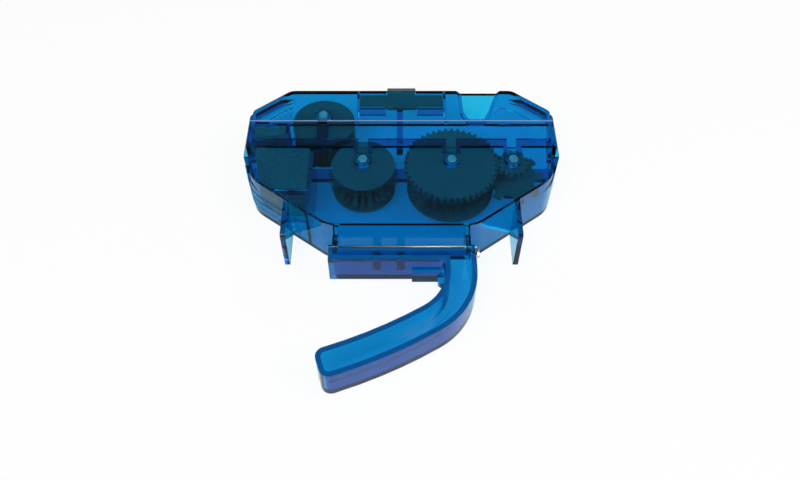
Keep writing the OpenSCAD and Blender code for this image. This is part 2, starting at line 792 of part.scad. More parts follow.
module brush3_axle() { axle(brush3_x, brush3_y, brush3_front_z); }
module brush3_hub() { wheel_piece(brush3_x, brush3_y, hub_low, brush3_hub_high, hub_r); }
module brush3_front_disc() {
    wheel_piece(brush3_x, brush3_y, brush3_hub_high, brush3_front_z, brush3_r - ring_clear);
}
module brush3_rear_disc() {
    wheel_piece(brush3_x, brush3_y, wheel_back_z, hub_low, brush3_r - ring_clear);
}
module brush3_rear_bristles() {
    bristle_ring(brush3_x, brush3_y, hub_low, hub_low + ring3_h, brush3_r, strands_small);
}
module brush3_middle_bristles() {
    low = hub_low + ring3_h + ring_clear;
    bristle_ring(brush3_x, brush3_y, low, low + ring3_h, brush3_r, strands_small);
}
module brush3_front_bristles() {
    bristle_ring(brush3_x, brush3_y, brush3_hub_high - ring3_h, brush3_hub_high, brush3_r,
                 strands_small);
}

// Involute tooth flanks of a spur gear, thinned for backlash
pressure_angle = 20;
addendum_share = 0.62;
dedendum_share = 0.95;
backlash_share = 0.12;
flank_steps = 3;
function involute(a) = tan(a) * 180 / PI - a;
function flank_angle(r, base_r, half_tooth) =
    half_tooth + involute(pressure_angle) - involute(acos(min(1, base_r / r)));
function gear_points(teeth) =
    let (pitch = gear_module * teeth / 2)
    let (base_r = pitch * cos(pressure_angle))
    let (tip = pitch + addendum_share * gear_module)
    let (root = pitch - dedendum_share * gear_module)
    let (low = max(root, base_r))
    let (half_tooth = 90 / teeth * (1 - backlash_share))
    let (radii = [root, for (k = [0:flank_steps]) low + (tip - low) * k / flank_steps])
    [for (i = [0:teeth - 1])
        each concat(
            [for (k = [0:len(radii) - 1])
                let (a = i * 360 / teeth - flank_angle(max(radii[k], low), base_r, half_tooth))
                radii[k] * [cos(a), sin(a)]],
            [for (k = [len(radii) - 1:-1:0])
                let (a = i * 360 / teeth + flank_angle(max(radii[k], low), base_r, half_tooth))
                radii[k] * [cos(a), sin(a)]])];

// Spur gear with a bore for its axle, its first tooth turned to an angle
module spur_gear(x, teeth, first) {
    color("#23292d") translate([x, 0, gear_back_z]) difference() {
        rotate([0, 0, first]) linear_extrude(gear_t) polygon(gear_points(teeth));
        translate([0, 0, -overrun]) cylinder(h = gear_t + 2 * overrun, r = axle_r);
    }
}

module brush2_gear() { spur_gear(brush2_x, gear_teeth, 0); }
module pinion() { spur_gear(sprocket_x, pinion_teeth, 180 + 180 / pinion_teeth); }

module sprocket_axle() { axle(sprocket_x, 0, gear_back_z + gear_t); }
module front_spacer() {
    wheel_piece(sprocket_x, 0, chain_z + sprocket_t / 2, gear_back_z, spacer_r);
}
module rear_spacer() {
    wheel_piece(sprocket_x, 0, wheel_back_z, chain_z - sprocket_t / 2, spacer_r);
}

// Sprocket with a round seat for each chain roller and tapered teeth between
module sprocket() {
    seat_r = roller_d / 2 + axle_fit;
    step = 360 / sprocket_teeth;
    tip_r_out = pitch_r + sprocket_tip;
    flare = 1.3;
    color("#23292d") translate([sprocket_x, 0, chain_z - sprocket_t / 2]) difference() {
        cylinder(h = sprocket_t, r = tip_r_out, $fn = 96);
        for (i = [0:sprocket_teeth - 1]) rotate([0, 0, (i + 0.5) * step]) {
            translate([pitch_r, 0, -overrun]) cylinder(h = sprocket_t + 2 * overrun, r = seat_r);
            translate([0, 0, -overrun]) linear_extrude(sprocket_t + 2 * overrun)
                polygon([[pitch_r, -seat_r], [tip_r_out + overrun, -seat_r * flare],
                         [tip_r_out + overrun, seat_r * flare], [pitch_r, seat_r]]);
        }
        translate([0, 0, -overrun]) cylinder(h = sprocket_t + 2 * overrun, r = axle_r);
    }
}

// Grip outline drawn in by d: down the right side, round the bend, along the sweep and back
bend_centre = [grip_right - bend_r, bend_y];
function on_arc(centre, r, a) = centre + r * [cos(a), sin(a)];
function sweep_centre() = bend_centre
    + (bend_r - sweep_r) * [cos(-bend_angle), sin(-bend_angle)];
bend_steps = 10;
sweep_steps = 5;
function grip_points(d) =
    let (outer = bend_r - d)
    let (inner = bend_r - grip_w + d)
    let (far_outer = sweep_r - d)
    let (far_inner = sweep_r - grip_w + d)
    let (tip = tip_r - d > 1 ? tip_r - d : 1)
    let (last = bend_angle + sweep_angle - d / sweep_r * 180 / PI)
    let (near = last - tip_turn_share * tip_r / sweep_r * 180 / PI)
    let (a = on_arc(sweep_centre(), far_outer, -last))
    let (b = on_arc(sweep_centre(), far_inner, -last))
    concat(
        corner_arc([grip_right - grip_w, bar_top - d], [grip_right - d, bar_top - d],
                   [grip_right - d, bend_y], corner_r - d),
        [for (i = [0:bend_steps]) on_arc(bend_centre, outer, -bend_angle * i / bend_steps)],
        [for (i = [1:sweep_steps])
            on_arc(sweep_centre(), far_outer, -bend_angle - (near - bend_angle) * i / sweep_steps)],
        corner_arc(on_arc(sweep_centre(), far_outer, -near), a, b, tip),
        corner_arc(a, b, on_arc(sweep_centre(), far_inner, -near), tip),
        [for (i = [sweep_steps:-1:1])
            on_arc(sweep_centre(), far_inner, -bend_angle - (near - bend_angle) * i / sweep_steps)],
        [for (i = [bend_steps:-1:0]) on_arc(bend_centre, inner, -bend_angle * i / bend_steps)],
        [[grip_right - grip_w + d, bar_top - d]]);

// Low rib along the grip's floor
function rib_points() =
    let (middle = bend_r - grip_w / 2)
    let (far = sweep_r - grip_w / 2)
    let (half_w = floor_rib_w / 2)
    let (last = bend_angle + sweep_angle - rib_gap_share * rim_t / sweep_r * 180 / PI)
    concat(
        [for (i = [0:sweep_steps])
            on_arc(sweep_centre(), far + half_w, -bend_angle - (last - bend_angle) * i / sweep_steps)],
        [for (i = [sweep_steps:-1:0])
            on_arc(sweep_centre(), far - half_w, -bend_angle - (last - bend_angle) * i / sweep_steps)],
        [for (i = [bend_steps:-1:bend_steps / 2])
            on_arc(bend_centre, middle - half_w, -bend_angle * i / bend_steps)],
        [for (i = [bend_steps / 2:bend_steps])
            on_arc(bend_centre, middle + half_w, -bend_angle * i / bend_steps)]);

module handle() {
    fillet = 4;
    grip_left = grip_right - grip_w;
    color("royalblue", 0.6) difference() {
        union() {
            translate([0, 0, handle_back_z]) linear_extrude(handle_d) polygon(grip_points(0));
            translate([-bar_left, bar_foot, handle_back_z])
                cube([bar_left + grip_left + wall, bar_h, handle_d]);
            // Fillet between the bar and the grip
            translate([grip_left - fillet, bar_foot - fillet, handle_back_z]) difference() {
                cube([fillet + lap, fillet + lap, handle_d]);
                translate([0, 0, -overrun]) cylinder(h = handle_d + 2 * overrun, r = fillet);
            }
            // Deeper stretch of the bar's foot and its hanging nub
            translate([bar_step_left, bar_foot - bar_step_h, handle_back_z])
                cube([grip_left - bar_step_left + lap, bar_step_h + lap, handle_d / 2]);
            translate([nub_x, bar_foot - nub_drop + nub_r, handle_back_z])
                cylinder(h = nub_t, r = nub_r);
            translate([nub_x - nub_r, bar_foot - nub_drop + nub_r, handle_back_z])
                cube([2 * nub_r, nub_drop - nub_r, nub_t]);
            // Hinge eyes outside the lugs
            for (x = [-bar_left, lug_x + plate_t / 2 + touch_gap]) {
                translate([x, hinge_y, hinge_z]) rotate([0, 90, 0]) cylinder(h = eye_t, r = eye_r);
                translate([x, bar_foot + bar_rim, hinge_z - eye_r])
                    cube([eye_t, hinge_y - bar_foot - bar_rim, handle_front_z - hinge_z + eye_r]);
            }
        }
        difference() {
            translate([0, 0, handle_back_z + handle_floor]) linear_extrude(handle_d)
                polygon(grip_points(rim_t));
            translate([0, 0, handle_back_z]) linear_extrude(handle_floor + floor_rib_h)
                polygon(rib_points());
        }
        translate([-bar_left + rim_t, bar_foot + bar_rim, handle_back_z + handle_floor])
            cube([bar_left + grip_left, bar_h - 2 * bar_rim, handle_d]);
        // Room for the two lugs
        for (side = [-1, 1])
            translate([side * lug_x - plate_t / 2 - touch_gap, hinge_y - lug_r - lug_fit,
                       hinge_z - lug_r - lug_fit])
                cube([plate_t + 2 * touch_gap, 3 * lug_r, case_d]);
        translate([-2 * bar_left, hinge_y, hinge_z]) rotate([0, 90, 0])
            cylinder(h = 4 * bar_left, r = wire_r + wire_fit);
    }
}

tub();
lower_sponge();
hinge_wire();
lid();
upper_sponge();
latch();
brush1_axle();
brush1_hub();
brush1_front_disc();
brush1_rear_disc();
brush1_front_bristles();
brush1_middle_bristles();
brush1_rear_bristles();
brush2_axle();
brush2_hub();
brush2_gear();
brush2_rear_disc();
brush2_front_bristles();
brush2_rear_bristles();
brush3_axle();
brush3_hub();
brush3_front_disc();
brush3_rear_disc();
brush3_front_bristles();
brush3_middle_bristles();
brush3_rear_bristles();
sprocket_axle();
sprocket();
pinion();
front_spacer();
rear_spacer();
handle();
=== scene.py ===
"""Bicycle chain cleaner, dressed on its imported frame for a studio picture.

The script works in metres in the part's own frame: X runs to the sprocket's side, Y to
the lid's top and Z out of the front face. The cleaner lies on its back on the floor.
"""
import logging
import math
from dataclasses import dataclass
from enum import Enum

import bmesh
import bpy
import numpy as np
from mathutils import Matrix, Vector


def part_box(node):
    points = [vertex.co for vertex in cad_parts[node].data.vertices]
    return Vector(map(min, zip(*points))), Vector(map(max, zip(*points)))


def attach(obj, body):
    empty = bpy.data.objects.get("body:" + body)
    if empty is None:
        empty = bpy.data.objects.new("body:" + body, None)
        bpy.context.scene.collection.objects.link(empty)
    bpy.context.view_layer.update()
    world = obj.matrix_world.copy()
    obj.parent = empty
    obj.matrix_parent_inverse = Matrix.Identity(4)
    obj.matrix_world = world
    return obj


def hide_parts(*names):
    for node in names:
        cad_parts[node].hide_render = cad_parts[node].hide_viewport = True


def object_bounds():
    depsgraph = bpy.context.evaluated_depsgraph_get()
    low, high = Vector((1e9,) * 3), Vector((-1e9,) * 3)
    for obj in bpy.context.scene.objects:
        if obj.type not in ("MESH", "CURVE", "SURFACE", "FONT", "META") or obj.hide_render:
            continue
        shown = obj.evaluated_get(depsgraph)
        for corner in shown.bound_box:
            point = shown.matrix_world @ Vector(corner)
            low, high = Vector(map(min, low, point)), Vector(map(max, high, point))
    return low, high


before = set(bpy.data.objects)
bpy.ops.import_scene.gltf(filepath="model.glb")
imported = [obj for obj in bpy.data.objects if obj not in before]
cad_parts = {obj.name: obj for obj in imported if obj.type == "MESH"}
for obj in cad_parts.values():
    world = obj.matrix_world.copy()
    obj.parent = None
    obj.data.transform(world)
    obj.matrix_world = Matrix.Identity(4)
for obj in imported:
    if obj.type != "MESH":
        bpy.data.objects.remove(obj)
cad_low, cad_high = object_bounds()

MM = 0.001
SEED = 29

# Distance within which two vertices are one
WELD = 0.002 * MM

# The thick belt's front lies farther than this from the back face
BELT_FRONT = 34.4 * MM

# The belt's upper edge above the lower axles, and the width of the painted highlight along it
BELT_TOP = 31.9 * MM
BELT_HIGHLIGHT = 0.9 * MM

# Faces that turn by less than FLAT are joined, and edges sharper than CREASE are rounded
FLAT = math.radians(0.6)
CREASE = math.radians(24)

# A face is large and an edge is long from this many radii of the rounding
LARGE_FACE = 8
LONG_EDGE = 6
BEVEL_STEPS = 2
FACE_WEIGHT = 50

# Places of a colour mix's first colour, second colour and result
MIX_FIRST = 6
MIX_SECOND = 7
MIX_RESULT = 2

# Light bounces that clear plastic needs, and see-through layers that a lamp's ray may cross
BOUNCES = 20
LAYERS = 40


class Body(Enum):
    """The moving bodies of the frame."""

    CASE = "case"
    LID = "lid"
    LATCH = "latch"
    BRUSH1 = "brush1"
    BRUSH2 = "brush2"
    BRUSH3 = "brush3"
    SPROCKET = "sprocket"
    HANDLE = "handle"


class Edge(Enum):
    """How far a moulding's edges are rounded, in metres, and their share on small forms."""

    SHELL = (0.4 * MM, 0.45)
    GRIP = (0.9 * MM, 0.35)
    WHEEL = (0.3 * MM, 0.5)


# Colours and shader nodes

def linear(colour: str) -> tuple[float, float, float, float]:
    """Turns an sRGB hex colour to linear light by the sRGB curve.

    Args:
        colour: Six hex digits with a leading hash.

    Returns:
        Red, green and blue from 0 to 1, and full alpha.
    """
    parts = [int(colour[i:i + 2], 16) / 255 for i in (1, 3, 5)]
    light = [c / 12.92 if c <= 0.04045 else ((c + 0.055) / 1.055) ** 2.4 for c in parts]
    return (*light, 1.0)


def add(tree: bpy.types.NodeTree, kind: str, values: dict | None = None,
        links: dict | None = None, **settings: object) -> bpy.types.Node:
    """Adds one shader node.

    Args:
        tree: The node tree that gets it.
        kind: The node's type name.
        values: Input name or place, and its constant.
        links: Input name or place, and the socket that feeds it or the node whose first
            output does.
        **settings: Attributes of the node.

    Returns:
        The new node.
    """
    node = tree.nodes.new(kind)
    for key, value in settings.items():
        setattr(node, key, value)
    for key, value in (values or {}).items():
        node.inputs[key].default_value = value
    for key, source in (links or {}).items():
        socket = source.outputs[0] if isinstance(source, bpy.types.Node) else source
        tree.links.new(socket, node.inputs[key])
    return node


def blank(name: str) -> tuple[bpy.types.Material, bpy.types.NodeTree]:
    """Makes an empty node material.

    Args:
        name: The material's name.

    Returns:
        The material and its tree.
    """
    material = bpy.data.materials.new(name)
    material.use_nodes = True
    material.node_tree.nodes.clear()
    return material, material.node_tree


def grain(tree: bpy.types.NodeTree, pitch: float, layers: float,
          stretch: tuple[float, float, float] = (1, 1, 1)) -> bpy.types.Node:
    """Adds a noise whose blobs lie about one pitch apart on the piece.

    Args:
        tree: The material's tree.
        pitch: Distance between blobs in millimetres.
        layers: Number of finer layers.
        stretch: Scale of the pattern along each axis.

    Returns:
        The noise node, whose first output is its strength.
    """
    spot = add(tree, "ShaderNodeTexCoord")
    turned = add(tree, "ShaderNodeMapping", {"Scale": stretch}, {"Vector": spot.outputs["Object"]})
    return add(tree, "ShaderNodeTexNoise", {"Scale": 1 / (pitch * MM), "Detail": layers},
               {"Vector": turned})


# Finishes, with lengths in millimetres

@dataclass(frozen=True)
class ClearMoulding:
    """Tinted polycarbonate, injection moulded in a polished tool.

    The eye sees through it: one wall is sky blue, two are deep blue, and an edge that
    is looked into lengthways is navy. Most of the tint sits in the skin, and the core
    adds a little with depth: each colour keeps its clarity's share through one wall.
    Slow waves in the surface bend what lies behind it, and faint scuffs dull it in spots.
    """

    name: str
    tint: str
    belt_tint: str | None = None
    # Painted highlight: a whitish tint, and the share of clearness it takes away, along the belt's
    # upper edge
    highlight_tint: str = "#8f9cc8"
    highlight_share: float = 0.75
    wall: float = 2.0
    clarity: tuple[float, float, float] = (0.6, 0.90, 0.93)
    lamp_shade: str = "#f7f7f7"
    ior: float = 1.38
    wave_pitch: float = 24.0
    wave_height: float = 0.03
    wave_strength: float = 0.25
    scuff_pitch: float = 3.0
    scuff_start: float = 0.45
    scuff_full: float = 0.75
    polished: float = 0.02
    scuffed: float = 0.07

    def build(self) -> bpy.types.Material:
        """Makes the clear body with its depth of colour and lets lamps shine through it.

        Returns:
            The material.
        """
        material, tree = blank(self.name)
        waves = grain(tree, self.wave_pitch, layers=1.0)
        bump = add(tree, "ShaderNodeBump",
                   {"Strength": self.wave_strength, "Distance": self.wave_height * MM},
                   {"Height": waves})
        scuffs = grain(tree, self.scuff_pitch, layers=4.0)
        gloss = add(tree, "ShaderNodeMapRange",
                    {"From Min": self.scuff_start, "From Max": self.scuff_full,
                     "To Min": self.polished, "To Max": self.scuffed}, {"Value": scuffs})
        body = add(tree, "ShaderNodeBsdfPrincipled",
                   {"Base Color": linear(self.tint), "IOR": self.ior, "Transmission Weight": 1.0},
                   {"Normal": bump, "Roughness": gloss})
        if self.belt_tint:
            self.tint_belt_and_paint_highlight(tree, body)
        through = add(tree, "ShaderNodeBsdfTransparent", {"Color": linear(self.lamp_shade)})
        path = add(tree, "ShaderNodeLightPath")
        mixed = add(tree, "ShaderNodeMixShader",
                    links={0: path.outputs["Is Shadow Ray"], 1: body, 2: through})
        loss = [-math.log(share) / (self.wall * MM) for share in self.clarity]
        density = max(loss)
        core = add(tree, "ShaderNodeVolumeAbsorption",
                   {"Color": (*[1 - value / density for value in loss], 1), "Density": density})
        add(tree, "ShaderNodeOutputMaterial", links={"Surface": mixed, "Volume": core})
        return material

    def tint_belt_and_paint_highlight(self, tree: bpy.types.NodeTree, body: bpy.types.Node) -> None:
        """Deepens the thick belt's front and paints a whitish highlight along its upper edge.

        Args:
            tree: The material's tree.
            body: The clear body, whose colour and clearness are changed there.
        """
        spot = add(tree, "ShaderNodeTexCoord")
        split = add(tree, "ShaderNodeSeparateXYZ", links={0: spot.outputs["Object"]})
        ahead = add(tree, "ShaderNodeMath", {1: BELT_FRONT}, {0: split.outputs["Z"]},
                    operation="GREATER_THAN")
        below = add(tree, "ShaderNodeMath", {1: BELT_TOP}, {0: split.outputs["Y"]},
                    operation="LESS_THAN")
        front = add(tree, "ShaderNodeMath", links={0: ahead, 1: below}, operation="MULTIPLY")
        # Painted highlight: a whitish, hazy strip along the upper edge stands in for the light that
        # the edge catches
        above = add(tree, "ShaderNodeMath", {1: BELT_TOP - BELT_HIGHLIGHT}, {0: split.outputs["Y"]},
                    operation="GREATER_THAN")
        edge = add(tree, "ShaderNodeMath", links={0: front, 1: above}, operation="MULTIPLY")
        deep = add(tree, "ShaderNodeMix",
                   {MIX_FIRST: linear(self.tint), MIX_SECOND: linear(self.belt_tint)},
                   {0: front}, data_type="RGBA")
        tone = add(tree, "ShaderNodeMix", {MIX_SECOND: linear(self.highlight_tint)},
                   {0: edge, MIX_FIRST: deep.outputs[MIX_RESULT]}, data_type="RGBA")
        highlight_loss = add(tree, "ShaderNodeMath", {1: -self.highlight_share}, {0: edge}, operation="MULTIPLY")
        clear = add(tree, "ShaderNodeMath", {1: 1.0}, {0: highlight_loss}, operation="ADD")
        tree.links.new(tone.outputs[MIX_RESULT], body.inputs["Base Color"])
        tree.links.new(clear.outputs[0], body.inputs["Transmission Weight"])


@dataclass(frozen=True)
class BlackMoulding:
    """Black polypropylene, moulded in a spark-eroded tool, which leaves a fine dull grain."""

    name: str
    shade: str
    light_shade: str
    roughness: float = 0.42
    cloud_pitch: float = 9.0
    grain_pitch: float = 0.55
    grain_height: float = 0.05
    grain_strength: float = 0.35

    def build(self) -> bpy.types.Material:
        """Makes the grainy dark body with a slow change of shade.

        Returns:
            The material.
        """
        material, tree = blank(self.name)
        clouds = grain(tree, self.cloud_pitch, layers=3.0)
        tone = add(tree, "ShaderNodeMix",
                   {MIX_FIRST: linear(self.shade), MIX_SECOND: linear(self.light_shade)},
                   {0: clouds}, data_type="RGBA")
        fine = grain(tree, self.grain_pitch, layers=2.0)
        bump = add(tree, "ShaderNodeBump",
                   {"Strength": self.grain_strength, "Distance": self.grain_height * MM},
                   {"Height": fine})
        body = add(tree, "ShaderNodeBsdfPrincipled", {"Roughness": self.roughness},
                   {"Base Color": tone.outputs[MIX_RESULT], "Normal": bump})
        add(tree, "ShaderNodeOutputMaterial", links={"Surface": body})
        return material


@dataclass(frozen=True)
class NylonStrand:
    """Black nylon, extruded to strands, with a soft shine and a little change from tuft to tuft."""

    name: str
    shade: str
    light_shade: str
    roughness: float = 0.34
    tuft_pitch: float = 2.5

    def build(self) -> bpy.types.Material:
        """Makes the strands' satin body.

        Returns:
            The material.
        """
        material, tree = blank(self.name)
        tufts = grain(tree, self.tuft_pitch, layers=2.0)
        tone = add(tree, "ShaderNodeMix",
                   {MIX_FIRST: linear(self.shade), MIX_SECOND: linear(self.light_shade)},
                   {0: tufts}, data_type="RGBA")
        body = add(tree, "ShaderNodeBsdfPrincipled", {"Roughness": self.roughness},
                   {"Base Color": tone.outputs[MIX_RESULT]})
        add(tree, "ShaderNodeOutputMaterial", links={"Surface": body})
        return material


@dataclass(frozen=True)
class OpenCellFoam:
    """Dark polyurethane foam, sawn from a block, so its cut cells make a dull pitted face.

    The real cells are about 0.6 mm wide; they are drawn 1.1 mm wide to show.
    """

    name: str
    shade: str
    light_shade: str
    roughness: float = 0.92
    sheen: float = 0.2
    cell: float = 1.1
    cell_depth: float = 0.4
    cell_strength: float = 0.8

    def build(self) -> bpy.types.Material:
        """Makes the pitted, light-absorbing body.

        Returns:
            The material.
        """
        material, tree = blank(self.name)
        spot = add(tree, "ShaderNodeTexCoord")
        cells = add(tree, "ShaderNodeTexVoronoi", {"Scale": 1 / (self.cell * MM)},
                    {"Vector": spot.outputs["Object"]})
        tone = add(tree, "ShaderNodeMix",
                   {MIX_FIRST: linear(self.light_shade), MIX_SECOND: linear(self.shade)},
                   {0: cells.outputs["Distance"]}, data_type="RGBA")
        bump = add(tree, "ShaderNodeBump",
                   {"Strength": self.cell_strength, "Distance": self.cell_depth * MM},
                   {"Height": cells.outputs["Distance"]}, invert=True)
        body = add(tree, "ShaderNodeBsdfPrincipled",
                   {"Roughness": self.roughness, "Sheen Weight": self.sheen},
                   {"Base Color": tone.outputs[MIX_RESULT], "Normal": bump})
        add(tree, "ShaderNodeOutputMaterial", links={"Surface": body})
        return material


@dataclass(frozen=True)
class DrawnWire:
    """Zinc-plated spring steel, drawn through a die, with fine lines along it and a warm shine."""

    name: str
    shade: str
    light_shade: str
    roughness: float = 0.3
    line_pitch: float = 0.3
    line_stretch: tuple[float, float, float] = (0.04, 1, 1)
    line_height: float = 0.03
    line_strength: float = 0.2

    def build(self) -> bpy.types.Material:
        """Makes the bright metal with its drawing lines along X.

        Returns:
            The material.
        """
        material, tree = blank(self.name)
        lines = grain(tree, self.line_pitch, layers=2.0, stretch=self.line_stretch)
        tone = add(tree, "ShaderNodeMix",
                   {MIX_FIRST: linear(self.shade), MIX_SECOND: linear(self.light_shade)},
                   {0: lines}, data_type="RGBA")
        bump = add(tree, "ShaderNodeBump",
                   {"Strength": self.line_strength, "Distance": self.line_height * MM},
                   {"Height": lines})
        body = add(tree, "ShaderNodeBsdfPrincipled",
                   {"Roughness": self.roughness, "Metallic": 1.0},
                   {"Base Color": tone.outputs[MIX_RESULT], "Normal": bump})
        add(tree, "ShaderNodeOutputMaterial", links={"Surface": body})
        return material


@dataclass(frozen=True)
class PinMoulding:
    """Milky blue acetal, moulded smooth, with a soft shine on the pins' rounded ends."""

    name: str
    shade: str
    light_shade: str
    roughness: float = 0.28
    cloud_pitch: float = 4.0

    def build(self) -> bpy.types.Material:
        """Makes the milky body.

        Returns:
            The material.
        """
        material, tree = blank(self.name)
        clouds = grain(tree, self.cloud_pitch, layers=2.0)
        tone = add(tree, "ShaderNodeMix",
                   {MIX_FIRST: linear(self.shade), MIX_SECOND: linear(self.light_shade)},
                   {0: clouds}, data_type="RGBA")
        body = add(tree, "ShaderNodeBsdfPrincipled", {"Roughness": self.roughness},
                   {"Base Color": tone.outputs[MIX_RESULT]})
        add(tree, "ShaderNodeOutputMaterial", links={"Surface": body})
        return material


# Meshes

def fill_mesh(name: str, points: np.ndarray, faces: np.ndarray) -> bpy.types.Mesh:
    """Makes a mesh of whole arrays.

    Args:
        name: The mesh's name.
        points: Places of the vertices in metres, the last axis X, Y and Z.
        faces: Vertex numbers of each face, all faces with the same count.

    Returns:
        The mesh, shaded smooth.
    """
    mesh = bpy.data.meshes.new(name)
    count, corners = faces.shape
    mesh.vertices.add(points.size // 3)
    mesh.vertices.foreach_set("co", points.astype(np.float32).ravel())
    mesh.loops.add(count * corners)
    mesh.loops.foreach_set("vertex_index", faces.astype(np.int32).ravel())
    mesh.polygons.add(count)
    mesh.polygons.foreach_set("loop_start", np.arange(0, count * corners, corners, dtype=np.int32))
    mesh.polygons.foreach_set("use_smooth", np.ones(count, dtype=bool))
    mesh.update(calc_edges=True)
    mesh.validate()
    return mesh


def grid_faces(rows: int, columns: int) -> np.ndarray:
    """Numbers the faces of a grid whose last column joins its first.

    Args:
        rows: Number of rings.
        columns: Number of points on a ring.

    Returns:
        Four vertex numbers for each face.
    """
    row, column = np.meshgrid(np.arange(rows - 1), np.arange(columns), indexing="ij")
    after = (column + 1) % columns
    corners = [row * columns + column, row * columns + after,
               (row + 1) * columns + after, (row + 1) * columns + column]
    return np.stack(corners, axis=-1).reshape(-1, 4)


def close_up(mesh: bpy.types.Mesh) -> None:
    """Merges the doubles of a mesh's poles and seams and turns its faces outwards.

    Args:
        mesh: The mesh to mend.
    """
    shape = bmesh.new()
    shape.from_mesh(mesh)
    bmesh.ops.remove_doubles(shape, verts=shape.verts, dist=WELD)
    bmesh.ops.recalc_face_normals(shape, faces=shape.faces)
    shape.to_mesh(mesh)
    shape.free()


def read_points(mesh: bpy.types.Mesh) -> np.ndarray:
    """Reads the places of a mesh's vertices.

    Args:
        mesh: The mesh.

    Returns:
        One row of X, Y and Z for each vertex, in metres.
    """
    points = np.empty(len(mesh.vertices) * 3, dtype=np.float32)
    mesh.vertices.foreach_get("co", points)
    return points.reshape(-1, 3)


def place(mesh: bpy.types.Mesh, piece: str, body: Body, slot: str,
          material: bpy.types.Material, *nodes: str) -> bpy.types.Object:
    """Puts a finished mesh into the scene on its body.

    Args:
        mesh: The piece's mesh, in the part's frame.
        piece: The piece's name.
        body: The body that it rides on.
        slot: The material slot of the record that it stands for; not used.
        material: Its finish.
        *nodes: The CAD nodes that it replaces.

    Returns:
        The piece's object.
    """
    made = bpy.data.objects.new(piece, mesh)
    bpy.context.scene.collection.objects.link(made)
    mesh.materials.clear()
    mesh.materials.append(material)
    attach(made, body.value)
    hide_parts(*nodes)
    logging.info("%s: %d faces on %s", piece, len(mesh.polygons), body.value)
    return made


def moulding(node: str, edge: Edge, body: Body, slot: str,
             material: bpy.types.Material) -> None:
    """Rounds the edges of a CAD node's copy as a moulding tool does.

    The copy's loose triangles are merged and joined to flat faces. Each crease gets the
    full radius where both its faces are large, and a share of it on small forms.

    Args:
        node: The CAD node.
        edge: Radius and share.
        body: The body that it rides on.
        slot: The material slot of the record.
        material: Its finish.
    """
    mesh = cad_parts[node].data.copy()
    mesh.name = f"{node}_moulded"
    shape = bmesh.new()
    shape.from_mesh(mesh)
    bmesh.ops.remove_doubles(shape, verts=shape.verts, dist=WELD)
    bmesh.ops.dissolve_limit(shape, angle_limit=FLAT, verts=shape.verts, edges=shape.edges)
    radius, share = edge.value
    weight = shape.edges.layers.float.new("bevel_weight_edge")
    large = (LARGE_FACE * radius) ** 2
    for line in shape.edges:
        if len(line.link_faces) != 2 or line.calc_face_angle(0.0) < CREASE:
            continue
        small = min(side.calc_area() for side in line.link_faces) < large
        line[weight] = share if small or line.calc_length() < LONG_EDGE * radius else 1.0
    for side in shape.faces:
        side.smooth = True
    shape.to_mesh(mesh)
    shape.free()
    made = place(mesh, f"{node}_piece", body, slot, material, node)
    bevel = made.modifiers.new("rounded", "BEVEL")
    bevel.limit_method = "WEIGHT"
    bevel.width = radius
    bevel.segments = BEVEL_STEPS
    bevel.use_clamp_overlap = True
    smooth = made.modifiers.new("shading", "WEIGHTED_NORMAL")
    smooth.weight = FACE_WEIGHT
    smooth.keep_sharp = True


# Small pieces

@dataclass
class AxlePin:
    """A pin with rounded ends and a collar in front of its wheel, turned about Z."""

    node: str
    body: Body
    material: bpy.types.Material
    end_round: float = 0.6 * MM
    collar_round: float = 0.2 * MM
    collar_slack: float = 0.02 * MM
    turns: int = 32
    end_rings: int = 5

    def steps(self, middle: np.ndarray) -> tuple[float, float, float, float]:
        """Reads the pin's steps from the CAD node.

        Args:
            middle: The middle of the node's box.

        Returns:
            The pin's radius, the collar's radius and the collar's two ends along Z.
        """
        points = read_points(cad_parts[self.node].data)
        reach = np.linalg.norm(points[:, :2] - middle[:2], axis=1)
        ends = points[reach > reach.max() - self.collar_slack, 2]
        return reach[points[:, 2].argmin()], reach.max(), ends.min(), ends.max()

    def build(self) -> None:
        """Turns the profile round the pin's axis.

        The profile is the pin's side with a quarter circle at each end, carried on to the
        axis, and the collar's side with small chamfers. A point is
        (x + r cos a, y + r sin a, z).
        """
        low, high = (np.array(corner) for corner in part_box(self.node))
        middle = (low + high) / 2
        radius, wide, back, front = self.steps(middle)
        bend = np.linspace(0, math.pi / 2, self.end_rings)
        side = radius - self.end_round + self.end_round * np.sin(bend)
        rise = self.end_round * (1 - np.cos(bend))
        cut = self.collar_round
        reach = np.concatenate([[0], side, [radius, wide - cut, wide, wide, wide - cut, radius],
                                side[::-1], [0]])
        height = np.concatenate([[low[2]], low[2] + rise,
                                 [back, back, back + cut, front - cut, front, front],
                                 high[2] - rise[::-1], [high[2]]])
        angle = np.linspace(0, 2 * math.pi, self.turns, endpoint=False)
        points = np.stack(np.broadcast_arrays(
            middle[0] + reach[:, None] * np.cos(angle), middle[1] + reach[:, None] * np.sin(angle),
            height[:, None]), axis=-1)
        mesh = fill_mesh(f"{self.node}_turned", points, grid_faces(len(reach), self.turns))
        close_up(mesh)
        place(mesh, f"{self.node}_piece", self.body, "blue_pin", self.material, self.node)


